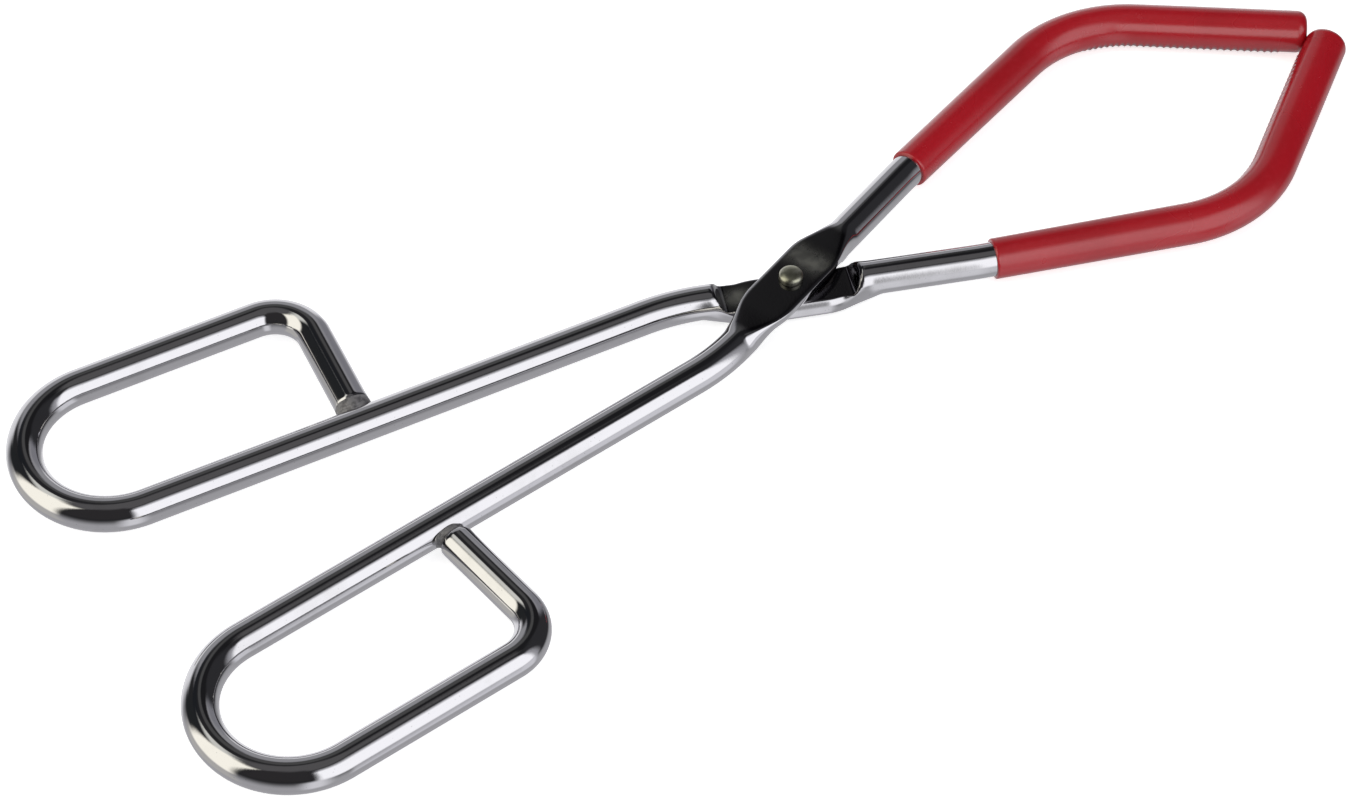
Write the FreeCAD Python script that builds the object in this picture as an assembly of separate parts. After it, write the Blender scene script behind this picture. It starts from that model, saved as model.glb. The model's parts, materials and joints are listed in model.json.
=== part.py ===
"""Jar lifter: scissor tongs made of two bent chrome rods, riveted where they cross, with soft red jaw sleeves.

Millimetres. +X runs from the handles to the jaws, +Z is up, and the origin is the middle of the underside.
Each arm is first laid out flat about the rivet, with its handle on the +Y side and its jaw on the -Y side.
"""
import FreeCAD
import Part

import math
import os

Vec = FreeCAD.Vector
UP = Vec(0, 0, 1)

# the rod that both arms are bent from
ROD_D = 6.2
ROD_R = ROD_D / 2

# one arm's centre line, as slopes and bends about the rivet
SHANK_ANGLE = -5.26           # the long straight behind the rivet, degrees
PAD_ANGLE = -21.05            # the straight that carries the rivet
JAW_ANGLE = -18.8             # the straight in front of the rivet
TIP_ANGLE = 35.8              # the gripping leg
LOOP_OUTER_ANGLE = -4.7       # the outer side of the finger loop
LOOP_LEG_ANGLE = 82.5         # the leg that closes the loop onto the shank

SHANK_BEND_X = -20.0          # where shank and pad straights cross
PAD_BEND_X = 31.9             # where pad and jaw straights cross
JAW_BEND_X = 80.8             # where jaw and gripping leg cross
LOOP_LEG_X = -79.0            # where the loop's closing leg meets the shank
LOOP_END_X = -132.2           # rearmost point of the loop's centre line
LOOP_END_Y = 31.7
LOOP_OUTER_X = -87.1          # a point on the loop's outer side
LOOP_OUTER_Y = 44.3

SHANK_BEND_R = 40.0
PAD_BEND_R = 60.0
JAW_BEND_R = 25.0
LOOP_CORNER_R = 7.8
LOOP_BACK_RUN = 0.02          # straight left between the two quarter bends of the loop's round end
LOWER_LEG = 46.6              # length of the gripping leg from its bend, each arm
UPPER_LEG = 44.8

# the pressed pads that are half-lapped at the rivet
PAD_HALF_W = 4.35
PAD_SHOULDER = 7.0            # the spread plate narrows from here, along the arm
PAD_SHOULDER_R = 7.0
PAD_HALF_L = 13.0
PAD_NECK_HALF_W = 2.4         # the plate's half width at its ends, inside the round rod
PAD_OUTER = 2.9               # outer flat, from the rod's centre plane
PAD_GAP = 0.1                 # between the two inner flats
PAD_EDGE_R = 0.9
STEP_FOOT = 12.0              # the step from flat to round starts here
STEP_RUN = 2.2                # along the arm, from flat to the rod's full height
OVERCUT = 1.0                 # how far a cutting shape runs past the rod

# the rivet
RIVET_D = 3.2
RIVET_HEAD_D = 5.2
RIVET_HEAD_H = 1.7
RIVET_TAIL_H = 0.9
RIVET_CLEARANCE = 0.05
DOME_RIM = 0.35               # upright part of a head's edge, as a share of its height

# the sleeves
SLEEVE_D = 7.8
SLEEVE_START_X = 34.3
SLEEVE_END_WALL = 1.2
SLEEVE_END_R = 2.4
RIB_PITCH = 1.25
RIB_W = 0.6
RIB_H = 0.22
RIB_COUNT = 30
RIB_LAST = 6.0                # from the sleeve's end to the nearest rib

# the weld that closes each finger loop
WELD_GAP = 0.25               # between the shank and the rod's cut end
WELD_FOOT_R = 3.6
WELD_TOP_R = 3.3
WELD_FOOT = 1.7               # from the shank's centre line
WELD_TOP = 5.6


def heading(degrees):
    """Unit vector in the arm's plane."""
    return Vec(math.cos(math.radians(degrees)), math.sin(math.radians(degrees)), 0)


def along_to_x(point, angle, x):
    """The point with the given X on a straight through another point."""
    return point + heading(angle) * ((x - point.x) / heading(angle).x)


def meet(point_a, angle_a, point_b, angle_b):
    """Where two straights of the centre line cross."""
    a = heading(angle_a)
    b = heading(angle_b)
    gap = point_b - point_a
    along = (gap.x * b.y - gap.y * b.x) / (a.x * b.y - a.y * b.x)
    return point_a + a * along


def arm_points(leg_length):
    """Corner points and bend radii of one arm's centre line, from the loop's cut end to the jaw's tip."""
    shank_bend = along_to_x(Vec(0, 0, 0), PAD_ANGLE, SHANK_BEND_X)
    pad_bend = along_to_x(Vec(0, 0, 0), PAD_ANGLE, PAD_BEND_X)
    jaw_bend = along_to_x(pad_bend, JAW_ANGLE, JAW_BEND_X)
    tip = jaw_bend + heading(TIP_ANGLE) * leg_length
    foot = along_to_x(shank_bend, SHANK_ANGLE, LOOP_LEG_X)
    cut_end = foot + heading(LOOP_LEG_ANGLE) * (ROD_R + WELD_GAP)
    outer = Vec(LOOP_OUTER_X, LOOP_OUTER_Y, 0)
    loop_corner = meet(foot, LOOP_LEG_ANGLE, outer, LOOP_OUTER_ANGLE)
    back = Vec(LOOP_END_X, LOOP_END_Y, 0)
    loop_angle = (SHANK_ANGLE + LOOP_OUTER_ANGLE) / 2
    back_outer = meet(back, loop_angle + 90, outer, LOOP_OUTER_ANGLE)
    back_inner = meet(back, loop_angle + 90, foot, SHANK_ANGLE)
    loop_end_r = (back_outer.distanceToPoint(back_inner) - LOOP_BACK_RUN) / 2
    corners = [cut_end, loop_corner, back_outer, back_inner, shank_bend, pad_bend, jaw_bend, tip]
    radii = [LOOP_CORNER_R, loop_end_r, loop_end_r, SHANK_BEND_R, PAD_BEND_R, JAW_BEND_R]
    return corners, radii


def rounded_path(corners, radii):
    """Straight runs joined by tangent arcs, as a list of edges."""
    edges = []
    start = corners[0]
    for before, corner, after, radius in zip(corners, corners[1:], corners[2:], radii):
        into = (corner - before).normalize()
        out = (after - corner).normalize()
        half_turn = into.getAngle(out) / 2
        setback = radius * math.tan(half_turn)
        arc_in = corner - into * setback
        arc_out = corner + out * setback
        bisector = (out - into).normalize()
        middle = corner + bisector * (radius / math.cos(half_turn) - radius)
        if start.distanceToPoint(arc_in) > 0.001:
            edges.append(Part.LineSegment(start, arc_in).toShape())
        edges.append(Part.Arc(arc_in, middle, arc_out).toShape())
        start = arc_out
    edges.append(Part.LineSegment(start, corners[-1]).toShape())
    return edges


def round_sweep(edges, radius):
    """A round bar that follows the edges."""
    first = edges[0]
    ring = Part.makeCircle(radius, first.valueAt(first.FirstParameter), first.tangentAt(first.FirstParameter))
    bar = Part.Wire(edges).makePipeShell([Part.Wire([ring])], True, False)
    return Part.Solid(bar) if bar.ShapeType == "Shell" else bar


def prism(outline, extrude):
    """A solid from a closed polygon and an extrusion vector."""
    return Part.Face(Part.makePolygon(outline + [outline[0]])).extrude(extrude)


def nearest_edge(solid, point):
    """The edge whose middle is nearest to a point."""
    return min(solid.Edges, key=lambda edge: edge.CenterOfMass.distanceToPoint(point))


def pad_plate():
    """The spread metal of a pressed pad, along X, below the centre plane."""
    plan = []
    for sign_x, sign_y in ((1, 1), (-1, 1), (-1, -1), (1, -1)):
        wide = Vec(sign_x * PAD_SHOULDER, sign_y * PAD_HALF_W, 0)
        neck = Vec(sign_x * PAD_HALF_L, sign_y * PAD_NECK_HALF_W, 0)
        plan += [neck, wide] if sign_x == sign_y else [wide, neck]
    plate = prism([point - UP * PAD_OUTER for point in plan], UP * (PAD_OUTER - PAD_GAP / 2))
    middle_z = -(PAD_OUTER + PAD_GAP / 2) / 2
    shoulders = [Vec(x, y, middle_z) for x in (-PAD_SHOULDER, PAD_SHOULDER) for y in (-PAD_HALF_W, PAD_HALF_W)]
    plate = plate.makeFillet(PAD_SHOULDER_R, [nearest_edge(plate, point) for point in shoulders])
    outer_face = min(plate.Faces, key=lambda face: face.CenterOfMass.z)
    return plate.makeFillet(PAD_EDGE_R, outer_face.Edges)


def pad_cut():
    """What the press takes off the round bar: deep on the inner side with sloping steps, a shave outside."""
    reach = PAD_HALF_W + OVERCUT
    top = ROD_R + OVERCUT
    slope = STEP_RUN / ROD_R
    side = [
        Vec(-STEP_FOOT, -reach, -PAD_GAP / 2),
        Vec(STEP_FOOT, -reach, -PAD_GAP / 2),
        Vec(STEP_FOOT + slope * top, -reach, top),
        Vec(-STEP_FOOT - slope * top, -reach, top),
    ]
    inner = prism(side, Vec(0, 2 * reach, 0))
    shave = Part.makeBox(2 * STEP_FOOT, 2 * reach, OVERCUT, Vec(-STEP_FOOT, -reach, -PAD_OUTER - OVERCUT))
    return inner.fuse(shave)


def turned(shape):
    """Lay a pad feature along the arm's pad straight."""
    return shape.rotate(Vec(0, 0, 0), UP, PAD_ANGLE)


def flipped(shape):
    """Roll an arm's part over its long axis, which makes the upper arm's part from the lower arm's."""
    return shape.rotate(Vec(0, 0, 0), Vec(1, 0, 0), 180)


def rod(leg_length, hole_d):
    """One bent rod with its pressed and drilled pad."""
    corners, radii = arm_points(leg_length - SLEEVE_END_WALL)
    bar = round_sweep(rounded_path(corners, radii), ROD_R)
    bar = bar.cut(turned(pad_cut())).fuse(turned(pad_plate()))
    hole = Part.makeCylinder(hole_d / 2, 4 * ROD_R, Vec(0, 0, -2 * ROD_R))
    return bar.cut(hole).removeSplitter()


def sleeve(leg_length, core):
    """The soft sleeve over a jaw, closed and rounded at its end and ribbed on the gripping side."""
    corners, radii = arm_points(leg_length)
    pad_bend, jaw_bend, tip = corners[-3:]
    start = along_to_x(pad_bend, JAW_ANGLE, SLEEVE_START_X)
    body = round_sweep(rounded_path([start, jaw_bend, tip], radii[-1:]), SLEEVE_D / 2)
    body = body.makeFillet(SLEEVE_END_R, [nearest_edge(body, tip)])
    along = heading(TIP_ANGLE)
    inward = heading(TIP_ANGLE + 90)
    rib_r = SLEEVE_D / 2 - RIB_H
    ribs = []
    for index in range(RIB_COUNT):
        seat = tip - along * (RIB_LAST + index * RIB_PITCH) + inward * (2 * RIB_H)
        if (seat - jaw_bend).dot(along) > JAW_BEND_R * math.tan(math.radians(TIP_ANGLE - JAW_ANGLE) / 2):
            ribs.append(Part.makeCylinder(rib_r, RIB_W, seat, along))
    return body.multiFuse(ribs).cut(core)


def loop_weld(core):
    """The bead that joins the loop's cut end to the shank."""
    corners, radii = arm_points(LOWER_LEG)
    leg = heading(LOOP_LEG_ANGLE)
    shank_centre = corners[0] - leg * (ROD_R + WELD_GAP)
    bead = Part.makeCone(WELD_FOOT_R, WELD_TOP_R, WELD_TOP - WELD_FOOT, shank_centre + leg * WELD_FOOT, leg)
    return bead.cut(core)


def rivet():
    """Round-headed rivet, set tight in the lower arm and free in the upper one."""
    head_z = PAD_OUTER + RIVET_CLEARANCE
    shank = Part.makeCylinder(RIVET_D / 2, head_z + PAD_OUTER, Vec(0, 0, -PAD_OUTER))
    head = dome(RIVET_HEAD_D / 2, RIVET_HEAD_H).translate(Vec(0, 0, head_z))
    tail = dome(RIVET_HEAD_D / 2, RIVET_TAIL_H).mirror(Vec(0, 0, 0), UP).translate(Vec(0, 0, -PAD_OUTER))
    return shank.multiFuse([head, tail]).removeSplitter()


def dome(radius, height):
    """A low button head that stands on the XY plane."""
    rim = DOME_RIM * height
    ball_r = (radius ** 2 + (height - rim) ** 2) / (2 * (height - rim))
    slab = Part.makeCylinder(radius, height)
    ball = Part.makeSphere(ball_r, Vec(0, 0, height - ball_r), UP, -90, 90, 360)
    return slab.common(ball)


def build():
    """All parts about the rivet."""
    lower = rod(LOWER_LEG, RIVET_D)
    upper = rod(UPPER_LEG, RIVET_D + 2 * RIVET_CLEARANCE)
    return {
        "lower_rod": lower,
        "upper_rod": flipped(upper.copy()),
        "lower_jaw_sleeve": sleeve(LOWER_LEG, lower),
        "upper_jaw_sleeve": flipped(sleeve(UPPER_LEG, upper)),
        "lower_loop_weld": loop_weld(lower),
        "upper_loop_weld": flipped(loop_weld(upper)),
        "rivet": rivet(),
    }


parts = build()
box = Part.makeCompound(list(parts.values())).optimalBoundingBox(False, False)
shift = Vec(-box.Center.x, -box.Center.y, -box.ZMin)
os.makedirs("parts", exist_ok=True)
for name, shape in parts.items():
    shape.translate(shift)
    shape.exportStep("parts/" + name + ".step")
    print(name, len(shape.Solids), "solid", shape.isValid(), round(shape.Volume, 1), "mm3")
print("size", round(box.XLength, 2), round(box.YLength, 2), round(box.ZLength, 2))
print("rivet axis at x %.3f y %.3f, rod centre plane at z %.3f" % (shift.x, shift.y, shift.z))
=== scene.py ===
import json
import math

import bmesh
import bpy
from mathutils import Matrix, Vector, noise


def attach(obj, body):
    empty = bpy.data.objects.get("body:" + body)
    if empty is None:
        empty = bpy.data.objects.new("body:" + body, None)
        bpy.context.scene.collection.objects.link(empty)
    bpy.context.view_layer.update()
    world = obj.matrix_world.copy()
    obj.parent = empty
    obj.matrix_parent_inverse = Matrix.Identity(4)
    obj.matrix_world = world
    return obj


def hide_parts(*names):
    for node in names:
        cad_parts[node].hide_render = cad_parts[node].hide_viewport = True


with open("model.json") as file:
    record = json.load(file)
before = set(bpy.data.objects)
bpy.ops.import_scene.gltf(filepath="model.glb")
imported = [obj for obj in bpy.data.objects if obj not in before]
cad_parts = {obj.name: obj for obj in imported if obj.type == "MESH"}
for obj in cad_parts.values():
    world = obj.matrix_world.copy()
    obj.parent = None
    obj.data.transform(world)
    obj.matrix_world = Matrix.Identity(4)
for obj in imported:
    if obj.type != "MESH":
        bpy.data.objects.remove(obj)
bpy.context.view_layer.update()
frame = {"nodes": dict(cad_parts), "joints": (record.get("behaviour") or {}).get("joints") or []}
print("frame loaded:", ", ".join(sorted(frame["nodes"])))

mm = 0.001  # the script works in metres
pivot = Vector(frame["joints"][0]["pos_m"])  # where the rivet crosses the rods' middle plane
upward = Vector((0, 0, 1))
scene = bpy.context.scene


class Wire:  # a node's output, written into sums like a number or a vector
    def __init__(self, graph, socket):
        self.graph = graph
        self.socket = socket

    def pair(self, operation, first, second):
        flows = [isinstance(value, Wire) and value.socket.type == "VECTOR" for value in (first, second)]
        if not any(flows):
            return self.graph.maths(operation, first, second)
        if operation == "MULTIPLY" and not all(flows):
            arrow, factor = (first, second) if flows[0] else (second, first)
            return self.graph.arrows("SCALE", {0: arrow, "Scale": factor})
        return self.graph.arrows(operation, {0: first, 1: second})

    def __add__(self, other):
        return self.pair("ADD", self, other)

    def __radd__(self, other):
        return self.pair("ADD", other, self)

    def __sub__(self, other):
        return self.pair("SUBTRACT", self, other)

    def __rsub__(self, other):
        return self.pair("SUBTRACT", other, self)

    def __mul__(self, other):
        return self.pair("MULTIPLY", self, other)

    def __rmul__(self, other):
        return self.pair("MULTIPLY", other, self)

    def __truediv__(self, other):
        return self.pair("DIVIDE", self, other)

    def __rtruediv__(self, other):
        return self.pair("DIVIDE", other, self)

    def __pow__(self, other):
        return self.graph.maths("POWER", self, other)

    def __abs__(self):
        return self.graph.maths("ABSOLUTE", self)

    def least(self, other):
        return self.graph.maths("MINIMUM", self, other)

    def most(self, other):
        return self.graph.maths("MAXIMUM", self, other)

    def sine(self):
        return self.graph.maths("SINE", self)

    def cosine(self):
        return self.graph.maths("COSINE", self)

    def sign(self):
        return self.graph.maths("SIGN", self)

    def dot(self, other):
        return self.graph.arrows("DOT_PRODUCT", {0: self, 1: other}, "Value")

    def ramp(self, low, high, start=0.0, end=1.0, kind="SMOOTHSTEP"):
        values = {"Value": self, 1: low, 2: high, 3: start, 4: end}
        return self.graph.node("ShaderNodeMapRange", {"interpolation_type": kind}, values)


class Graph:  # a node tree, for a material, the world or a geometry modifier
    def __init__(self, tree):
        self.tree = tree

    def node(self, kind, settings=None, inputs=None, output=0):
        made = self.tree.nodes.new(kind)
        for name, value in (settings or {}).items():
            setattr(made, name, value)
        for key, value in (inputs or {}).items():
            if isinstance(value, Wire):
                self.tree.links.new(value.socket, made.inputs[key])
            else:
                made.inputs[key].default_value = value
        return Wire(self, made.outputs[output]) if made.outputs else made

    def maths(self, operation, *values):
        return self.node("ShaderNodeMath", {"operation": operation}, dict(enumerate(values)))

    def arrows(self, operation, inputs, output=0):
        return self.node("ShaderNodeVectorMath", {"operation": operation}, inputs, output)

    def blend(self, factor, first, second):
        settings = {"data_type": "RGBA", "blend_type": "MIX"}
        return self.node("ShaderNodeMix", settings, {0: factor, 6: first, 7: second}, 2)

    def between(self, factor, first, second):
        return first + (second - first) * factor

    def cloud(self, spot, scale, detail, roughness=0.5):
        values = {"Vector": spot, "Scale": scale, "Detail": detail, "Roughness": roughness}
        return self.node("ShaderNodeTexNoise", {}, values)

    def mask(self, name):  # a number stored on each point of the mesh
        return self.node("ShaderNodeAttribute", {"attribute_name": name}, output="Fac")

    def relief(self, height, strength):
        return self.node("ShaderNodeBump", {}, {"Height": height, "Strength": strength, "Distance": 1.0})


def startMaterial(name):
    material = bpy.data.materials.new(name)
    material.use_nodes = True
    graph = Graph(material.node_tree)
    shader = next(node for node in material.node_tree.nodes if node.type == "BSDF_PRINCIPLED")
    spot = graph.node("ShaderNodeTexCoord", output="Object")
    return material, graph, shader, spot


def setShader(graph, shader, values):
    for name, value in values.items():
        if isinstance(value, Wire):
            graph.tree.links.new(value.socket, shader.inputs[name])
        else:
            shader.inputs[name].default_value = value


chromeLook = {
    "plate": (0.565, 0.56, 0.575, 1),
    "plateSmudged": (0.52, 0.515, 0.525, 1),
    "pressed": (0.115, 0.112, 0.12, 1),  # the flats that the die left
    "film": (0.52, 0.52, 0.46, 1),  # dull patches beside the rivet
    "filmCover": 0.85,
    "roughness": 0.045,
    "smudgeRoughness": 0.05,  # added where fingers have been
    "pressedRoughness": 0.03,
    "filmRoughness": 0.38,
    "smudgeNoise": (90, 4, 0.6),  # a noise is features in a metre, detail and roughness
    "smudgeEdge": (0.5, 0.72),
    "pitScale": 900,
    "pitSize": (0.04, 0.12),
    "pitCover": 0.25,
    "wearNoise": (380, 4, 0.6),
    "wearEdge": (0.3, 0.62),
    "wearLeast": 0.65,  # how much of the film is left where it is most worn
    "rippleNoise": (260, 2),
    "rippleHeight": 0.000012,
    "scratchNoise": (2600, 3),
    "scratchHeight": 0.000004,
    "pressedScratches": 3,  # extra depth on the pressed flats, in plain depths
    "bump": 0.6,
}


def makeChrome():
    look = chromeLook
    material, graph, shader, spot = startMaterial("polishedChrome")
    pressed = graph.mask("pressed")
    smudge = graph.cloud(spot, *look["smudgeNoise"]).ramp(*look["smudgeEdge"])
    pits = graph.node("ShaderNodeTexVoronoi", {}, {"Vector": spot, "Scale": look["pitScale"]})
    pitMask = pits.ramp(*look["pitSize"], 1.0, 0.0)
    clean = graph.blend(smudge, look["plate"], look["plateSmudged"])
    colour = graph.blend(pressed, clean, look["pressed"])
    colour = graph.blend(pitMask * look["pitCover"], colour, look["pressed"])
    wear = graph.cloud(spot, *look["wearNoise"])
    film = graph.mask("film") * wear.ramp(*look["wearEdge"], look["wearLeast"], 1.0)
    colour = graph.blend(film * look["filmCover"], colour, look["film"])
    roughness = look["roughness"] + smudge * look["smudgeRoughness"]
    roughness = roughness + pressed * look["pressedRoughness"] + film * look["filmRoughness"]
    ripple = graph.cloud(spot, *look["rippleNoise"])
    scratch = graph.cloud(spot, *look["scratchNoise"])
    depth = look["scratchHeight"] * (1 + pressed * look["pressedScratches"])
    height = ripple * look["rippleHeight"] + scratch * depth
    setShader(graph, shader, {
        "Base Color": colour,
        "Metallic": 1.0,
        "Roughness": roughness,
        "Normal": graph.relief(height, look["bump"]),
    })
    return material


vinylLook = {
    "body": (0.43, 0.006, 0.014, 1),
    "deep": (0.36, 0.004, 0.010, 1),
    "chalky": (0.46, 0.020, 0.034, 1),
    # painted shade: the dark red laid into the valleys between the ribs, and how strongly
    "grooveShadeColour": (0.09, 0.002, 0.006, 1),
    "grooveShadeCover": 0.75,
    "cloudNoise": (45, 3, 0.55),
    "cloudEdge": (0.35, 0.65),
    "speckleNoise": (1100, 2),
    "speckleEdge": (0.45, 0.75),
    "speckleCover": 0.2,
    "scuffNoise": (420, 5, 0.7),
    "scuffEdge": (0.62, 0.78),
    "scuffCover": 0.35,
    "roughness": 0.26,
    "scuffRoughness": 0.12,  # added where it is scuffed
    "cloudRoughness": 0.04,  # added in the deeper clouds
    "cloudRoughEdge": (0.3, 0.7),
    "peelNoise": (700, 2),
    "peelHeight": 0.00001,
    "scuffHeight": 0.000004,
    "bump": 0.5,
    "specular": 0.62,
    "coat": 0.3,
    "coatRoughness": 0.13,
}


def makeVinyl():
    look = vinylLook
    material, graph, shader, spot = startMaterial("redVinyl")
    clouds = graph.cloud(spot, *look["cloudNoise"])
    speckle = graph.cloud(spot, *look["speckleNoise"]).ramp(*look["speckleEdge"])
    scuff = graph.cloud(spot, *look["scuffNoise"])
    scuffed = scuff.ramp(*look["scuffEdge"])
    colour = graph.blend(clouds.ramp(*look["cloudEdge"]), look["body"], look["deep"])
    colour = graph.blend(speckle * look["speckleCover"], colour, look["chalky"])
    colour = graph.blend(scuffed * look["scuffCover"], colour, look["chalky"])
    # painted shade: the base colour darkens in the valleys between the ribs, where shade would fall
    colour = graph.blend(graph.mask("paintedGrooveShade") * look["grooveShadeCover"], colour, look["grooveShadeColour"])
    roughness = look["roughness"] + scuffed * look["scuffRoughness"]
    roughness = roughness + clouds.ramp(*look["cloudRoughEdge"]) * look["cloudRoughness"]
    peel = graph.cloud(spot, *look["peelNoise"])
    height = peel * look["peelHeight"] + scuff * look["scuffHeight"]
    setShader(graph, shader, {
        "Base Color": colour,
        "Roughness": roughness,
        "Normal": graph.relief(height, look["bump"]),
        "Specular IOR Level": look["specular"],
        "Coat Weight": look["coat"],
        "Coat Roughness": look["coatRoughness"],
    })
    return material


weldLook = {
    "bare": (0.30, 0.295, 0.305, 1),
    "burnt": (0.16, 0.155, 0.165, 1),
    "glint": (0.42, 0.41, 0.42, 1),
    "crustNoise": (900, 4, 0.65),
    "crustEdge": (0.36, 0.6),
    "gritNoise": (3800, 2),
    "gritEdge": (0.6, 0.75),
    "glintCover": 0.5,
    "metal": 0.55,
    "roughness": 0.46,
    "crustRoughness": 0.25,
    "crustRoughEdge": (0.4, 0.7),
    "crustHeight": 0.00005,
    "gritHeight": 0.0000075,
    "bump": 0.8,
}


def makeWeldMetal():
    look = weldLook
    material, graph, shader, spot = startMaterial("weldMetal")
    crust = graph.cloud(spot, *look["crustNoise"])
    grit = graph.cloud(spot, *look["gritNoise"])
    colour = graph.blend(crust.ramp(*look["crustEdge"]), look["burnt"], look["bare"])
    colour = graph.blend(grit.ramp(*look["gritEdge"]) * look["glintCover"], colour, look["glint"])
    height = crust * look["crustHeight"] + grit * look["gritHeight"]
    setShader(graph, shader, {
        "Base Color": colour,
        "Metallic": look["metal"],
        "Roughness": look["roughness"] + crust.ramp(*look["crustRoughEdge"]) * look["crustRoughness"],
        "Normal": graph.relief(height, look["bump"]),
    })
    return material


rivetLook = {
    "nickel": (0.40, 0.40, 0.31, 1),
    "worn": (0.52, 0.515, 0.44, 1),
    "grime": (0.10, 0.098, 0.075, 1),
    "patchNoise": (520, 4, 0.6),
    "patchEdge": (0.4, 0.65),
    "grainNoise": (2400, 3),
    "grimeEdge": (0.62, 0.8),
    "grimeCover": 0.5,
    "roughness": 0.33,
    "patchRoughness": 0.12,
    "patchRoughEdge": (0.35, 0.7),
    "patchHeight": 0.00003,
    "grainHeight": 0.000009,
    "bump": 0.6,
}


def makeRivetMetal():
    look = rivetLook
    material, graph, shader, spot = startMaterial("nickelRivet")
    patches = graph.cloud(spot, *look["patchNoise"])
    grain = graph.cloud(spot, *look["grainNoise"])
    colour = graph.blend(patches.ramp(*look["patchEdge"]), look["nickel"], look["worn"])
    colour = graph.blend(grain.ramp(*look["grimeEdge"]) * look["grimeCover"], colour, look["grime"])
    height = patches * look["patchHeight"] + grain * look["grainHeight"]
    setShader(graph, shader, {
        "Base Color": colour,
        "Metallic": 1.0,
        "Roughness": look["roughness"] + patches.ramp(*look["patchRoughEdge"]) * look["patchRoughness"],
        "Normal": graph.relief(height, look["bump"]),
    })
    return material


chrome = makeChrome()
vinyl = makeVinyl()
weldMetal = makeWeldMetal()
rivetMetal = makeRivetMetal()
print("materials made")


# the bent centre line lies in the plane through the rods' middles: lengths are in metres and
# angles in degrees from +X, for the arm whose loop is on +Y
arm = {
    "rodRadius": 3.1 * mm,
    "shankAngle": -5.26,
    "padAngle": -21.05,
    "jawAngle": -18.8,
    "tipAngle": 35.8,
    "loopOuterAngle": -4.7,
    "loopLegAngle": 82.5,
    "shankBendX": -20.0 * mm,  # from the rivet, along X
    "padBendX": 31.9 * mm,
    "jawBendX": 80.8 * mm,
    "loopLegX": -79.0 * mm,
    "loopEnd": (-132.2 * mm, 31.7 * mm),
    "loopOuter": (-87.1 * mm, 44.3 * mm),
    "weldGap": 0.25 * mm,  # between the cut end and the shank
    "shankBendR": 40 * mm,
    "padBendR": 60 * mm,
    "jawBendR": 25 * mm,
    "loopCornerR": 7.8 * mm,
    "loopBackRun": 0.02 * mm,  # the straight left between the loop's two end bends
}


def heading(angle):
    turn = math.radians(angle)
    return Vector((math.cos(turn), math.sin(turn), 0))


def alongToX(start, angle, x):  # where the line from start reaches x
    step = heading(angle)
    return start + step * ((x - start.x) / step.x)


def meet(first, firstAngle, second, secondAngle):  # where two lines cross
    a = heading(firstAngle)
    b = heading(secondAngle)
    gap = second - first
    return first + a * ((gap.x * b.y - gap.y * b.x) / (a.x * b.y - a.y * b.x))


def flat(point):
    return Vector((point[0], point[1], 0))


shankBend = alongToX(flat((0, 0)), arm["padAngle"], arm["shankBendX"])
padBend = alongToX(flat((0, 0)), arm["padAngle"], arm["padBendX"])
jawBend = alongToX(padBend, arm["jawAngle"], arm["jawBendX"])
legFoot = alongToX(shankBend, arm["shankAngle"], arm["loopLegX"])  # where the leg's line meets the shank's
legWay = heading(arm["loopLegAngle"])
tipWay = heading(arm["tipAngle"])


def placed(point, side):  # side is 1 for the lower arm and -1 for the upper, the same arm rolled over
    return Vector((point.x, point.y * side, 0)) + pivot


def loopCorners():
    outer = flat(arm["loopOuter"])
    back = flat(arm["loopEnd"])
    backAngle = (arm["shankAngle"] + arm["loopOuterAngle"]) / 2 + 90
    corner = meet(legFoot, arm["loopLegAngle"], outer, arm["loopOuterAngle"])
    backOuter = meet(back, backAngle, outer, arm["loopOuterAngle"])
    backInner = meet(back, backAngle, legFoot, arm["shankAngle"])
    endRadius = ((backOuter - backInner).length - arm["loopBackRun"]) / 2
    return corner, backOuter, backInner, endRadius


def pathMesh(name, points, radii):  # one edge per run, and the bend radius kept on each corner
    mesh = bpy.data.meshes.new(name)
    mesh.from_pydata(points, [(i, i + 1) for i in range(len(points) - 1)], [])
    bends = mesh.attributes.new("bendRadius", "FLOAT", "POINT")
    bends.data.foreach_set("value", radii)
    return mesh


def startTree(name, sockets):
    tree = bpy.data.node_groups.new(name, "GeometryNodeTree")
    tree.interface.new_socket("Geometry", in_out="INPUT", socket_type="NodeSocketGeometry")
    for label, kind in sockets.items():
        tree.interface.new_socket(label, in_out="INPUT", socket_type="NodeSocket" + kind)
    tree.interface.new_socket("Geometry", in_out="OUTPUT", socket_type="NodeSocketGeometry")
    graph = Graph(tree)
    first = graph.node("NodeGroupInput")
    given = {socket.name: Wire(graph, socket) for socket in first.socket.node.outputs if socket.name}
    return graph, given


def runTree(name, mesh, graph, values):  # the tree's result becomes the object's own plain mesh
    piece = bpy.data.objects.new(name, mesh)
    scene.collection.objects.link(piece)
    modifier = piece.modifiers.new("shape", "NODES")
    modifier.node_group = graph.tree
    for item in graph.tree.interface.items_tree:
        if item.in_out == "INPUT" and item.name in values:
            modifier[item.identifier] = values[item.name]
    shaped = piece.evaluated_get(bpy.context.evaluated_depsgraph_get())
    result = bpy.data.meshes.new_from_object(shaped)
    piece.modifiers.clear()
    piece.data = result
    result.name = name
    return piece


def keep(graph, geometry, name, kind, value):
    settings = {"data_type": kind, "domain": "POINT"}
    inputs = {0: geometry, "Name": name, "Value": value}
    return graph.node("GeometryNodeStoreNamedAttribute", settings, inputs)


def recall(graph, name, kind):
    return graph.node("GeometryNodeInputNamedAttribute", {"data_type": kind}, {"Name": name})


sweep = {
    "bendPoints": 48,  # points round each bend, before the line is divided evenly
    "tipHole": 0.02 * mm,  # how near the middle an end face closes
}


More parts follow.
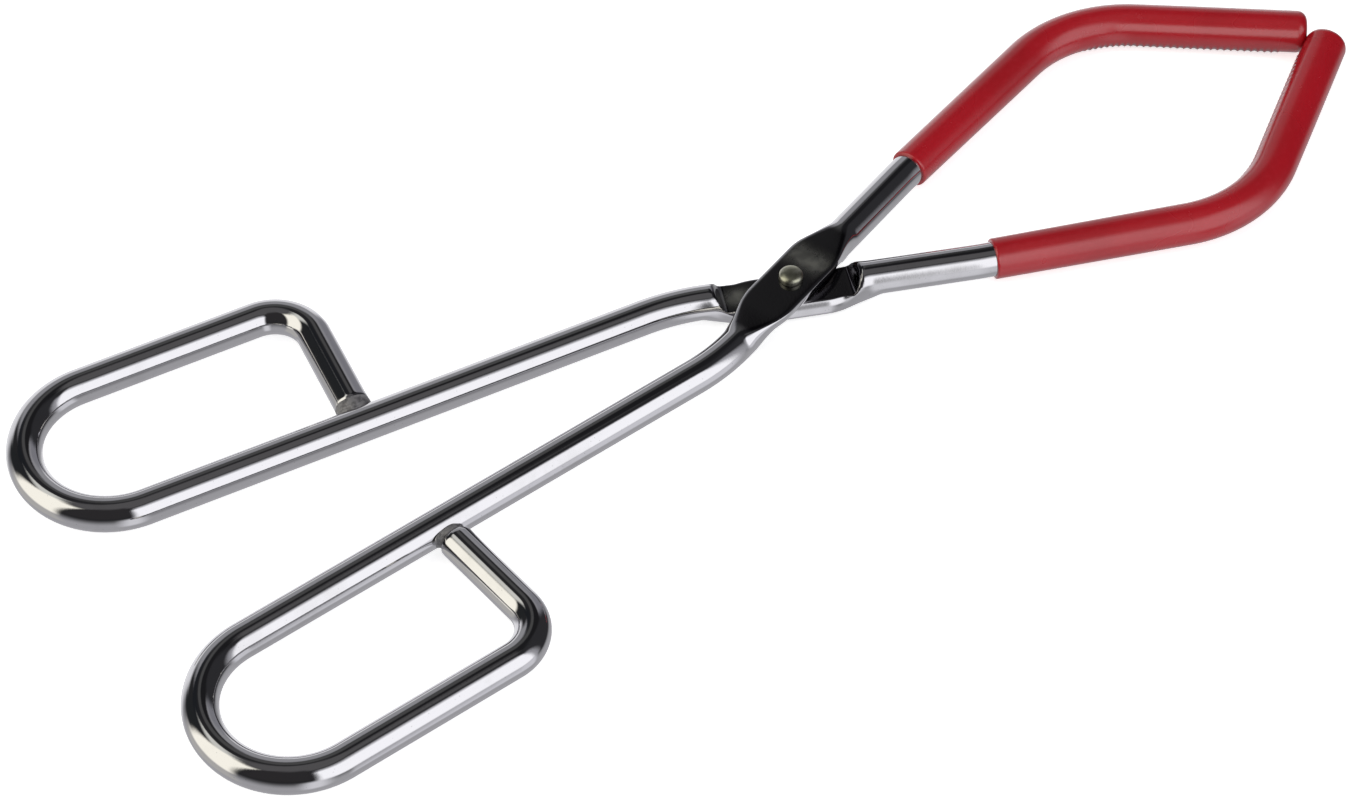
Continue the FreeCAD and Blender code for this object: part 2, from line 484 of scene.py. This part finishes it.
# rounds the corners, then sweeps a circle and remembers each point's place on it
def sweepRound(graph, given):
    line = graph.node("GeometryNodeMeshToCurve", {}, {0: given["Geometry"]})
    bendRadius = recall(graph, "bendRadius", "FLOAT")
    filletInputs = {0: line, "Count": sweep["bendPoints"], "Radius": bendRadius, "Limit Radius": True}
    line = graph.node("GeometryNodeFilletCurve", {"mode": "POLY"}, filletInputs)
    line = graph.node("GeometryNodeResampleCurve", {"mode": "LENGTH"}, {0: line, 3: given["Ring Spacing"]})
    run = graph.node("GeometryNodeSplineParameter", output="Length")
    whole = graph.node("GeometryNodeSplineLength")
    line = keep(graph, line, "centre", "FLOAT_VECTOR", graph.node("GeometryNodeInputPosition"))
    line = keep(graph, line, "way", "FLOAT_VECTOR", graph.node("GeometryNodeInputTangent"))
    line = keep(graph, line, "run", "FLOAT", run)
    line = keep(graph, line, "left", "FLOAT", whole - run)
    circle = {"Resolution": given["Section Points"], "Radius": given["Radius"]}
    ring = graph.node("GeometryNodeCurvePrimitiveCircle", {}, circle)
    skin = graph.node("GeometryNodeCurveToMesh", {}, {0: line, 1: ring, "Fill Caps": True})
    centre = recall(graph, "centre", "FLOAT_VECTOR")
    way = recall(graph, "way", "FLOAT_VECTOR")
    outward = graph.arrows("NORMALIZE", {0: graph.node("GeometryNodeInputPosition") - centre})
    across = graph.arrows("CROSS_PRODUCT", {0: way, 1: upward})
    place = {
        "centre": centre,
        "way": way,
        "run": recall(graph, "run", "FLOAT"),
        "left": recall(graph, "left", "FLOAT"),
        "side": outward.dot(across),
        "rise": outward.dot(upward),
        "across": across,
    }
    return skin, place


# within zone of an end: a straight stretch, a rounded rim and then the end face down to the inner radius
def endShape(distance, zone, rim, radius, inner):
    quarter = math.pi / 2
    straight = zone - rim
    arc = rim * quarter
    along = (1 - distance / zone).most(0) * (straight + arc + radius - rim - inner)
    turn = ((along - straight) / rim).most(0).least(quarter)
    shift = distance.least(zone) - (zone - along.least(straight) - rim * turn.sine())
    drop = rim * (1 - turn.cosine()) + (along - straight - arc).most(0)
    return shift, drop


def finishTree(graph, given, skin, place, slide, sideways, high):
    lift = graph.node("ShaderNodeCombineXYZ", {}, {"Z": high})
    position = place["centre"] + place["way"] * slide + place["across"] * sideways + lift
    skin = graph.node("GeometryNodeSetPosition", {}, {0: skin, "Position": position})
    skin = graph.node("GeometryNodeSetShadeSmooth", {}, {0: skin, "Shade Smooth": True})
    for name in ("centre", "way", "left", "bendRadius"):
        skin = graph.node("GeometryNodeRemoveAttribute", {}, {0: skin, "Name": name})
    skin = graph.node("GeometryNodeRealizeInstances", {}, {0: skin})
    skin = graph.node("GeometryNodeSetMaterial", {}, {0: skin, "Material": given["Material"]})
    graph.node("NodeGroupOutput", {}, {0: skin})


rodShape = {  # the pad is pressed flat where the rods cross, and its lengths are from the rivet along it
    "ringSpacing": 0.4 * mm,
    "sectionPoints": 64,
    "cutRim": 1.3 * mm,  # rounding of the sawn ends
    "padHalfWidth": 4.55 * mm,
    "padWidthFull": 6.0 * mm,
    "padWidthEnds": 14.5 * mm,
    "padOuter": 2.9 * mm,  # from the middle plane to the outer flat
    "padInner": 0.05 * mm,  # from the middle plane to the mating face
    "padMiddle": 2.3 * mm,  # height at which the pad is widest
    "padBelow": 1.37 * mm,  # sets how round the sides are towards the mating face
    "padClear": (20.0 * mm, 17.0 * mm),  # other runs of the rod never come this close to the rivet
    "stepFoot": 12.0 * mm,
    "stepTop": 14.4 * mm,
    "stepRatio": 1.12,  # how much nearer the rivet the step on the jaw side is
    "flatStart": 9.0 * mm,
    "flatEnd": 14.6 * mm,
    "crownStart": 9.0 * mm,  # the outer flat narrows into the round rod more slowly
    "crownEnd": 16.5 * mm,
    "roundPower": 2.0,  # a circle's power, and a larger one is squarer
    "outerPower": 9.0,
    "dieClear": 1.02,  # in rod radii, where the die's face lies past the steps, below the whole rod
    "markSpread": (0.6 * mm, 0.1 * mm),  # how far the die's mark spreads, at the steps and on the flat
    "markEdge": 0.2 * mm,
    "markStart": 0.06,  # share of the cut at which the mark is full
    "flatRim": (0.93, 0.98),  # where the outer flat's darker face starts, across and along the pad
    "flatFade": (0.03, 0.3),
    "filmReach": 4.6 * mm,  # how far the dull film spreads, along the pad and across it
    "filmSides": (0.1, 0.85),
}


def makeRodTree():
    shape = rodShape
    graph, given = startTree("pressedRod", {
        "Radius": "Float", "Ring Spacing": "Float", "Section Points": "Int", "Cut Rim": "Float",
        "Pivot": "Vector", "Pad Way": "Vector", "Outer Side": "Float",
        "Pad Half Width": "Float", "Pad Outer": "Float", "Pad Inner": "Float", "Pad Middle": "Float",
        "Step Foot": "Float", "Step Top": "Float", "Film At": "Float", "Material": "Material",
    })
    skin, place = sweepRound(graph, given)
    radius = given["Radius"]
    rim = given["Cut Rim"]
    startShift, startDrop = endShape(place["run"], rim, rim, radius, sweep["tipHole"])
    endShift, endDrop = endShape(place["left"], rim, rim, radius, sweep["tipHole"])
    scale = (radius - startDrop - endDrop) / radius

    offset = place["centre"] - given["Pivot"]
    ahead = offset.dot(given["Pad Way"])  # towards the jaw
    station = abs(ahead)
    stepStation = (ahead * shape["stepRatio"]).most(0 - ahead)
    away = graph.arrows("LENGTH", {0: offset}, "Value")
    nearPad = away.ramp(*shape["padClear"], kind="LINEAR")
    wide = station.ramp(shape["padWidthFull"], shape["padWidthEnds"], 1.0, 0.0) * nearPad
    flattened = stepStation.ramp(shape["flatStart"], shape["flatEnd"], 1.0, 0.0) * nearPad
    crowned = station.ramp(shape["crownStart"], shape["crownEnd"], 1.0, 0.0) * nearPad
    cut = stepStation.ramp(given["Step Foot"], given["Step Top"], 1.0, 0.0) * nearPad

    halfWidth = graph.between(wide, radius, given["Pad Half Width"])
    outerTop = graph.between(crowned, radius, given["Pad Outer"])
    middle = flattened * given["Pad Middle"]
    squareness = graph.between(crowned, shape["roundPower"], shape["outerPower"])

    rise = place["rise"] * given["Outer Side"]
    onOuter = graph.maths("GREATER_THAN", rise, 0.0)
    power = 2 / graph.between(onOuter, shape["roundPower"], squareness)
    sideways = place["side"].sign() * abs(place["side"]) ** power * halfWidth
    reach = abs(rise) ** power
    outerHigh = middle + reach * (outerTop - middle)
    innerHigh = middle - reach * (graph.between(flattened, radius, shape["padBelow"]) + middle)
    dieHigh = graph.between(cut, radius * -shape["dieClear"], given["Pad Inner"])  # slopes up the step
    uncut = graph.between(onOuter, innerHigh, outerHigh)
    high = uncut.most(dieHigh) * given["Outer Side"]

    beyond = graph.between(cut, *shape["markSpread"])
    dieFace = (dieHigh - uncut + beyond).ramp(0.0, shape["markEdge"]) * cut.ramp(0.0, shape["markStart"])
    topFace = onOuter * reach.ramp(*shape["flatRim"]) * crowned.ramp(*shape["flatFade"])
    filmed = abs(ahead - given["Film At"]).ramp(0.0, shape["filmReach"], 1.0, 0.0) * nearPad
    filmed = filmed * abs(place["side"]).ramp(*shape["filmSides"], 1.0, 0.0)
    skin = keep(graph, skin, "pressed", "FLOAT", dieFace.most(topFace) * nearPad)
    skin = keep(graph, skin, "film", "FLOAT", filmed)
    finishTree(graph, given, skin, place, endShift - startShift, sideways * scale, high * scale)
    return graph


def makeRod(name, plan, graph):
    side = plan["side"]
    corner, backOuter, backInner, endRadius = loopCorners()
    cutEnd = legFoot + legWay * (arm["rodRadius"] + arm["weldGap"])
    tip = jawBend + tipWay * plan["tipLength"]
    route = [cutEnd, corner, backOuter, backInner, shankBend, padBend, jawBend, tip]
    bends = [arm["shankBendR"], arm["padBendR"], arm["jawBendR"]]
    radii = [0, arm["loopCornerR"], endRadius, endRadius] + bends + [0]
    padWay = heading(arm["padAngle"])
    values = {
        "Radius": arm["rodRadius"],
        "Ring Spacing": rodShape["ringSpacing"],
        "Section Points": rodShape["sectionPoints"],
        "Cut Rim": rodShape["cutRim"],
        "Pivot": list(pivot),
        "Pad Way": [padWay.x, padWay.y * side, 0.0],
        "Outer Side": -float(side),
        "Pad Half Width": rodShape["padHalfWidth"],
        "Pad Outer": rodShape["padOuter"],
        "Pad Inner": rodShape["padInner"],
        "Pad Middle": rodShape["padMiddle"],
        "Step Foot": rodShape["stepFoot"],
        "Step Top": rodShape["stepTop"],
        "Film At": plan["filmAt"],
        "Material": chrome,
    }
    path = pathMesh(name, [placed(point, side) for point in route], radii)
    return runTree(name, path, graph, values)


sleeveShape = {
    "startX": 34.3 * mm,  # from the rivet, along X
    "startRadius": 3.66 * mm,
    "endRadius": 3.9 * mm,
    "grownBy": 0.75,  # the part of the sleeve's length after which it is full size
    "hiddenRadius": 2.9 * mm,  # the open end's face goes in under the rod's skin
    "lipZone": 1.1 * mm,
    "lipRim": 0.25 * mm,
    "endWall": 1.2 * mm,
    "ribPitch": 1.25 * mm,
    "ribHeight": 0.26 * mm,
    "ribCount": 32,
    "ribTaper": 4,  # ribs over which they fade out towards the jaw's corner
    "ribLast": 5.0 * mm,  # from the closed end to the last rib
    "ribEdge": 0.3 * mm,
    "ribArc": (0.70, 0.92),  # cosines, from the band's middle, where a rib starts and is full
    "toothPower": 0.8,
    "ringsPerRib": 8,
    "sectionPoints": 56,
}


def makeSleeveTree():
    shape = sleeveShape
    graph, given = startTree("ribbedSleeve", {
        "Radius": "Float", "Start Radius": "Float", "Ring Spacing": "Float", "Section Points": "Int",
        "Hidden Radius": "Float", "Lip Zone": "Float", "Lip Rim": "Float", "End Rim": "Float",
        "Rib Pitch": "Float", "Rib Height": "Float", "Rib Count": "Int", "Rib Last": "Float",
        "Rib Across": "Float", "Rib Up": "Float", "Material": "Material",
    })
    skin, place = sweepRound(graph, given)
    whole = place["run"] + place["left"]
    grown = (place["run"] / whole).ramp(0.0, shape["grownBy"], kind="LINEAR")
    radius = graph.between(grown, given["Start Radius"], given["Radius"])
    hidden = given["Hidden Radius"]
    lipShift, lipDrop = endShape(place["run"], given["Lip Zone"], given["Lip Rim"], radius, hidden)
    rim = given["End Rim"]
    endShift, endDrop = endShape(place["left"], rim, rim, radius, sweep["tipHole"])

    fromLast = place["left"] - given["Rib Last"]
    pitch = given["Rib Pitch"]
    count = given["Rib Count"]
    ribbed = fromLast.ramp(-shape["ribEdge"], shape["ribEdge"])
    ribbed = ribbed * fromLast.ramp(pitch * (count - shape["ribTaper"]), pitch * count, 1.0, 0.0)
    facing = place["side"] * given["Rib Across"] + place["rise"] * given["Rib Up"]
    banded = ribbed * facing.ramp(*shape["ribArc"])
    tooth = 1 - abs((fromLast * (math.pi / pitch)).sine()) ** shape["toothPower"]
    # painted shade: how deep each point lies in a valley between ribs, which the vinyl's colour darkens
    skin = keep(graph, skin, "paintedGrooveShade", "FLOAT", (1 - tooth) * banded)

    thick = radius - lipDrop - endDrop + tooth * banded * given["Rib Height"]
    finishTree(graph, given, skin, place, endShift - lipShift, place["side"] * thick, place["rise"] * thick)
    return graph


def makeSleeve(name, plan, graph):
    side = plan["side"]
    ribTurn = math.radians(plan["ribTurn"])
    start = alongToX(padBend, arm["jawAngle"], sleeveShape["startX"])
    end = jawBend + tipWay * (plan["tipLength"] + sleeveShape["endWall"])
    route = [placed(point, side) for point in (start, jawBend, end)]
    values = {
        "Radius": sleeveShape["endRadius"],
        "Start Radius": sleeveShape["startRadius"],
        "Ring Spacing": sleeveShape["ribPitch"] / sleeveShape["ringsPerRib"],
        "Section Points": sleeveShape["sectionPoints"],
        "Hidden Radius": sleeveShape["hiddenRadius"],
        "Lip Zone": sleeveShape["lipZone"],
        "Lip Rim": sleeveShape["lipRim"],
        "End Rim": plan["endRim"],
        "Rib Pitch": sleeveShape["ribPitch"],
        "Rib Height": sleeveShape["ribHeight"],
        "Rib Count": sleeveShape["ribCount"],
        "Rib Last": sleeveShape["ribLast"],
        "Rib Across": -side * math.cos(ribTurn),
        "Rib Up": math.sin(ribTurn),
        "Material": vinyl,
    }
    return runTree(name, pathMesh(name, route, [0, arm["jawBendR"], 0]), graph, values)


rodTree = makeRodTree()
sleeveTree = makeSleeveTree()
# tipLength is the rod's last leg, from the jaw's corner, ribTurn raises the ribs' band from level, in
# degrees, and filmAt is how far from the rivet, towards the jaw, the pad's dull film lies
arms = {
    "lower_arm": {
        "side": 1, "prefix": "lower", "tipLength": 45.4 * mm,
        "ribTurn": -14, "endRim": 0.9 * mm, "filmAt": -9.5 * mm,
    },
    "upper_arm": {
        "side": -1, "prefix": "upper", "tipLength": 43.6 * mm,
        "ribTurn": -58, "endRim": 1.8 * mm, "filmAt": 5.5 * mm,
    },
}
sleeves = []
for body, plan in arms.items():
    prefix = plan["prefix"]
    rod = makeRod(prefix + "ChromeRod", plan, rodTree)
    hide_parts(prefix + "_rod")
    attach(rod, body)
    sleeve = makeSleeve(prefix + "VinylSleeve", plan, sleeveTree)
    sleeves.append(sleeve)
    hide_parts(prefix + "_jaw_sleeve")
    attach(sleeve, body)
    print(prefix, "arm:", len(rod.data.polygons), "rod faces,", len(sleeve.data.polygons), "sleeve faces")


def joinRings(build, rings):
    for first, second in zip(rings, rings[1:]):
        for i in range(len(first)):
            j = (i + 1) % len(first)
            build.faces.new((first[i], first[j], second[j], second[i]))


def finishBuild(name, build, material):
    bmesh.ops.recalc_face_normals(build, faces=build.faces)
    mesh = bpy.data.meshes.new(name)
    build.to_mesh(mesh)
    build.free()
    mesh.shade_smooth()
    mesh.materials.append(material)
    piece = bpy.data.objects.new(name, mesh)
    scene.collection.objects.link(piece)
    return piece


welds = {  # heights are from the shank's axis along the leg, and climbs go up or down the shank's flank
    "lower_loop_weld": {
        "body": "lower_arm", "side": 1, "seed": 3.0, "radius": 3.13 * mm,
        "topHeight": 4.3 * mm, "frontHeight": 4.7 * mm, "backHeight": 5.3 * mm, "bottomHeight": 4.9 * mm,
        "topClimb": 2.45 * mm, "bottomClimb": 2.4 * mm, "flareBack": 0.5 * mm, "flareFront": 0.0,
    },
    "upper_loop_weld": {
        "body": "upper_arm", "side": -1, "seed": 11.0, "radius": 2.5 * mm,
        "topHeight": 3.75 * mm, "frontHeight": 3.65 * mm, "backHeight": 3.65 * mm, "bottomHeight": 3.5 * mm,
        "topClimb": 1.75 * mm, "bottomClimb": 1.6 * mm, "flareBack": 2.5 * mm, "flareFront": 0.5 * mm,
    },
}
weldShape = {
    "buried": 0.5 * mm,
    "footPower": 2.0,  # how quickly the foot's shape gives way to the leg's
    "edgeStart": 0.8,  # the part of the height where the top edge starts to turn in
    "edgeDepth": 0.05,
    "lumps": 0.07 * mm,
    "lumpScale": 0.9,  # per millimetre
    "waves": 4.5,  # shallow rings up the bead
    "waveHeight": 0.25,  # of the lumps
    "rings": 30,
    "segments": 64,
}


def makeWeld(node, plan):
    shape = weldShape
    side = plan["side"]
    foot = placed(legFoot, side)
    up = Vector((legWay.x, legWay.y * side, 0))
    shankWay = heading(arm["shankAngle"])
    along = Vector((shankWay.x, shankWay.y * side, 0))
    seed = Vector((plan["seed"], 0, 0))
    edgeSpan = 1 - shape["edgeStart"]
    build = bmesh.new()
    rows = []
    for ring in range(shape["rings"] + 1):
        step = ring / shape["rings"]
        lean = (1 - step) ** shape["footPower"]  # how much of the foot's shape this ring keeps
        inset = 1 - shape["edgeDepth"] * max(0, (step - shape["edgeStart"]) / edgeSpan) ** 2
        ripple = math.sin(step * 2 * math.pi * shape["waves"]) * shape["waveHeight"] * shape["lumps"]
        row = []
        for segment in range(shape["segments"]):
            turn = 2 * math.pi * segment / shape["segments"]
            front = math.cos(turn)
            top = math.sin(turn)
            wide = plan["radius"] + (plan["flareFront"] if front > 0 else plan["flareBack"]) * lean
            climb = plan["bottomClimb"] + (plan["topClimb"] - plan["bottomClimb"]) * (0.5 + 0.5 * top)
            tall = plan["radius"] + (climb - plan["radius"]) * lean
            x = front * wide * inset
            z = top * tall * inset
            seat = math.sqrt(max(arm["rodRadius"] ** 2 - z ** 2, 0)) - shape["buried"]
            crown = plan["topHeight"] if top > 0 else plan["bottomHeight"]
            beside = plan["frontHeight"] if front > 0 else plan["backHeight"]
            height = beside + (crown - beside) * top ** 2
            outward = along * x + upward * z
            spot = foot + up * (seat + (height - seat) * step) + outward
            lump = noise.noise(spot / mm * shape["lumpScale"] + seed) * shape["lumps"]
            row.append(build.verts.new(spot + outward.normalized() * (lump + ripple)))
        rows.append(row)
    joinRings(build, rows)
    build.faces.new(rows[0][::-1])
    build.faces.new(rows[-1])
    bead = finishBuild(node + "Bead", build, weldMetal)
    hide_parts(node)
    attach(bead, plan["body"])


for node, plan in welds.items():
    makeWeld(node, plan)
print("weld beads made")


rivetShape = {  # seats and heights are from the rods' middle plane and from the seat
    "shankRadius": 1.6 * mm,
    "shankTuck": 0.1 * mm,  # how far under its head the shank starts
    "seat": 2.92 * mm,
    "headRadius": 2.15 * mm,
    "headHeight": 1.7 * mm,
    "headRim": 0.6 * mm,
    "tailRadius": 2.5 * mm,
    "tailHeight": 0.9 * mm,
    "tailRim": 0.3 * mm,
    "fullness": (0.85, 0.7),  # powers across and up the dome, and 1 is an ellipse
    "rimMiddle": 0.5,
    "rimTuck": 0.97,
    "domeRings": 14,
    "segments": 72,
    "dent": 0.05 * mm,
    "dentScale": 0.8,  # per millimetre
    "dentPast": 3.2 * mm,  # from the middle plane, past which the face is dented
    "seed": 7.0,
}


def domeProfile(radius, height, rim):  # from the axis at the top out to the seat
    shape = rivetShape
    across, up = shape["fullness"]
    points = []
    for i in range(shape["domeRings"] + 1):
        turn = (math.pi / 2) * i / shape["domeRings"]
        top = shape["seat"] + rim + (height - rim) * math.cos(turn) ** up
        points.append((radius * math.sin(turn) ** across, top))
    points.append((radius, shape["seat"] + rim * shape["rimMiddle"]))
    points.append((radius * shape["rimTuck"], shape["seat"]))
    return points


def makeRivet():
    shape = rivetShape
    head = domeProfile(shape["headRadius"], shape["headHeight"], shape["headRim"])
    tail = domeProfile(shape["tailRadius"], shape["tailHeight"], shape["tailRim"])
    shankEnd = shape["seat"] - shape["shankTuck"]
    profile = head + [(shape["shankRadius"], shankEnd), (shape["shankRadius"], -shankEnd)]
    profile += [(radius, -high) for radius, high in reversed(tail)]
    seed = Vector((0, 0, shape["seed"]))
    build = bmesh.new()
    top = build.verts.new(pivot + upward * profile[0][1])
    bottom = build.verts.new(pivot + upward * profile[-1][1])
    rings = []
    for radius, high in profile[1:-1]:
        ring = []
        for segment in range(shape["segments"]):
            turn = 2 * math.pi * segment / shape["segments"]
            spot = Vector((math.cos(turn) * radius, math.sin(turn) * radius, high))
            dented = abs(high) > shape["dentPast"]
            dent = noise.noise(spot / mm * shape["dentScale"] + seed) * shape["dent"] * dented
            ring.append(build.verts.new(pivot + spot + upward * dent))
        rings.append(ring)
    joinRings(build, rings)
    for i in range(shape["segments"]):
        j = (i + 1) % shape["segments"]
        build.faces.new((top, rings[0][i], rings[0][j]))
        build.faces.new((bottom, rings[-1][j], rings[-1][i]))
    rivet = finishBuild("rivetDome", build, rivetMetal)
    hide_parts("rivet")
    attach(rivet, "lower_arm")


makeRivet()
print("rivet made")


studio = {
    "floorSize": 12.0,
    "floorColour": (0.90, 0.90, 0.90, 1),
    "floorShade": (0.88, 0.88, 0.885, 1),
    "floorNoise": (3, 2),
    "floorEdge": (0.3, 0.7),
    "floorRoughness": 0.7,
    "floorSpecular": 0.1,
    "floorGlowColour": (1, 1, 1, 1),
    "floorGlow": 0.72,
    "overheadSize": (2.4, 2.4),
    "overheadHeight": 1.6,
    "overheadPower": 10.0,
    "jawLightAim": (0.105, 0.01, 0.004),
    "jawLightWay": (-0.46, -0.76, 0.50),  # from the jaws towards the light
    "jawLightDistance": 0.6,
    "jawLightSize": (0.30, 0.42),
    "jawLightPower": 0.8,
}


def makeFloor():
    half = studio["floorSize"] / 2
    mesh = bpy.data.meshes.new("floor")
    corners = [(-half, -half, 0), (half, -half, 0), (half, half, 0), (-half, half, 0)]
    mesh.from_pydata(corners, [], [(0, 1, 2, 3)])
    material, graph, shader, spot = startMaterial("paleFloor")
    clouds = graph.cloud(spot, *studio["floorNoise"]).ramp(*studio["floorEdge"])
    setShader(graph, shader, {
        "Base Color": graph.blend(clouds, studio["floorColour"], studio["floorShade"]),
        "Roughness": studio["floorRoughness"],
        "Specular IOR Level": studio["floorSpecular"],
        "Emission Color": studio["floorGlowColour"],
        "Emission Strength": studio["floorGlow"],
    })
    mesh.materials.append(material)
    floor = bpy.data.objects.new("floor", mesh)
    floor.visible_glossy = False  # the surroundings paint the ground that the chrome mirrors
    floor.visible_diffuse = False
    scene.collection.objects.link(floor)


surroundings = {
    "shade": (0.030, 0.030, 0.032, 1),
    "ground": (0.54, 0.54, 0.56, 1),
    "groundFades": (-34, 12),  # elevations, in degrees
    "seen": (1.0, 1.0, 1.0, 1),  # what a camera sees past the floor's edge
}
# soft patches of light and dark round the object, painted in this order: azimuths are in degrees,
# 0 towards -Y and 90 towards +X, and reach is the half width
patches = {
    "overhead": {"colour": (0.13, 0.127, 0.13), "centre": 20, "reach": 400, "rise": (68, 100), "soft": 5},
    "farHorizon": {"colour": (1.08, 1.08, 1.11), "centre": 164, "reach": 38, "rise": (-46, 12), "soft": 9},
    "farWall": {"colour": (0.42, 0.42, 0.44), "centre": 150, "reach": 36, "rise": (14, 40), "soft": 6},
    "farDark": {"colour": (0.018, 0.018, 0.020), "centre": 116, "reach": 30, "rise": (36, 70), "soft": 4},
    "farDusk": {"colour": (0.10, 0.10, 0.10), "centre": 152, "reach": 10, "rise": (42, 60), "soft": 5},
    "backDark": {"colour": (0.020, 0.022, 0.026), "centre": -169, "reach": 22, "rise": (38, 53), "soft": 4},
    "backTop": {"colour": (0.95, 0.95, 0.88), "centre": -146, "reach": 20, "rise": (50, 66), "soft": 5},
    "sideGrey": {"colour": (0.30, 0.30, 0.33), "centre": 118, "reach": 12, "rise": (-12, 30), "soft": 7},
    "sideDark": {"colour": (0.040, 0.040, 0.044), "centre": 82, "reach": 26, "rise": (-14, 60), "soft": 7},
    "windowHaze": {"colour": (0.80, 0.80, 0.83), "centre": 20, "reach": 26, "rise": (46, 61), "soft": 7},
    "windowFringe": {"colour": (0.50, 0.50, 0.53), "centre": 48, "reach": 9, "rise": (-6, 48), "soft": 7},
    "rightWindow": {"colour": (1.58, 1.58, 1.62), "centre": 18, "reach": 28, "rise": (-5, 53), "soft": 5},
    "windowFoot": {"colour": (0.95, 0.95, 1.00), "centre": 36, "reach": 14, "rise": (-36, -4), "soft": 6},
    "windowEdge": {"colour": (1.00, 1.00, 1.04), "centre": -12, "reach": 11, "rise": (-50, 0), "soft": 9},
    "leftFoot": {"colour": (0.66, 0.65, 0.62), "centre": -112, "reach": 28, "rise": (-44, 2), "soft": 7},
    "leftWindow": {"colour": (1.60, 1.55, 1.36), "centre": -108, "reach": 24, "rise": (-10, 64), "soft": 6},
    "leftDark": {"colour": (0.026, 0.028, 0.030), "centre": -148, "reach": 11, "rise": (2, 44), "soft": 6},
    "frontDark": {"colour": (0.040, 0.038, 0.040), "centre": -46, "reach": 32, "rise": (14, 76), "soft": 8},
}


def makeWorld():
    world = bpy.data.worlds.new("studio")
    scene.world = world
    world.use_nodes = True
    world.node_tree.nodes.clear()
    graph = Graph(world.node_tree)
    way = graph.node("ShaderNodeTexCoord", output="Generated")
    x, y, z = (graph.node("ShaderNodeSeparateXYZ", {}, {0: way}, axis) for axis in "XYZ")
    degrees = 180 / math.pi
    azimuth = graph.maths("ARCTAN2", x, 0 - y) * degrees
    elevation = graph.maths("ARCSINE", z) * degrees
    groundMask = elevation.ramp(*surroundings["groundFades"])
    light = graph.blend(groundMask, surroundings["ground"], surroundings["shade"])
    for patch in patches.values():
        soft = patch["soft"]
        bottom, top = patch["rise"]
        aside = abs(graph.maths("WRAP", azimuth - patch["centre"], 180.0, -180.0))
        mask = aside.ramp(patch["reach"] - soft, patch["reach"] + soft, 1.0, 0.0)
        mask = mask * elevation.ramp(bottom - soft, bottom + soft)
        mask = mask * elevation.ramp(top - soft, top + soft, 1.0, 0.0)
        light = graph.blend(mask, light, patch["colour"] + (1,))
    seen = graph.node("ShaderNodeLightPath", output="Is Camera Ray")
    light = graph.blend(seen, light, surroundings["seen"])
    glow = graph.node("ShaderNodeBackground", {}, {"Color": light, "Strength": 1.0})
    graph.node("ShaderNodeOutputWorld", {}, {"Surface": glow})


def makeSoftbox(name, place, aim, size, power):
    light = bpy.data.lights.new(name, "AREA")
    light.shape = "RECTANGLE"
    light.size, light.size_y = size
    light.energy = power
    lamp = bpy.data.objects.new(name, light)
    lamp.location = place
    lamp.rotation_euler = (Vector(place) - Vector(aim)).to_track_quat("Z", "Y").to_euler()
    lamp.visible_camera = False
    scene.collection.objects.link(lamp)
    return lamp


def makeLights():
    above = (0, 0, studio["overheadHeight"])
    overhead = makeSoftbox("overhead", above, (0, 0, 0), studio["overheadSize"], studio["overheadPower"])
    overhead.visible_glossy = False
    jaws = Vector(studio["jawLightAim"])
    place = jaws + Vector(studio["jawLightWay"]).normalized() * studio["jawLightDistance"]
    jawLight = makeSoftbox("jawLight", place, jaws, studio["jawLightSize"], studio["jawLightPower"])
    lit = bpy.data.collections.new("sleevesLit")
    for sleeve in sleeves:
        lit.objects.link(sleeve)
    # the light brings up the vinyl's gloss and leaves the chrome alone
    jawLight.light_linking.receiver_collection = lit


cameraPlace = {
    "aim": (-0.02307, -0.01096, 0.0039),
    "distance": 0.6875,
    "azimuth": -32.544,
    "elevation": 49.224,
    "roll": 0.139,
    "lens": 106.49,
    "sensor": 36.0,
    "nearest": 0.01,
}


def makeCamera():
    turn = math.radians(cameraPlace["azimuth"])
    tilt = math.radians(cameraPlace["elevation"])
    back = Vector((math.sin(turn) * math.cos(tilt), -math.cos(turn) * math.cos(tilt), math.sin(tilt)))
    right = upward.cross(back).normalized()
    right = Matrix.Rotation(math.radians(cameraPlace["roll"]), 3, back) @ right
    over = back.cross(right)
    data = bpy.data.cameras.new("camera")
    data.lens = cameraPlace["lens"]
    data.sensor_width = cameraPlace["sensor"]
    data.clip_start = cameraPlace["nearest"]
    camera = bpy.data.objects.new("camera", data)
    place = Matrix((right, over, back)).transposed().to_4x4()
    place.translation = Vector(cameraPlace["aim"]) + back * cameraPlace["distance"]
    camera.matrix_world = place
    scene.collection.objects.link(camera)
    scene.camera = camera


makeFloor()
makeWorld()
makeLights()
makeCamera()
scene.view_settings.view_transform = "Standard"
print("floor, light and camera placed")
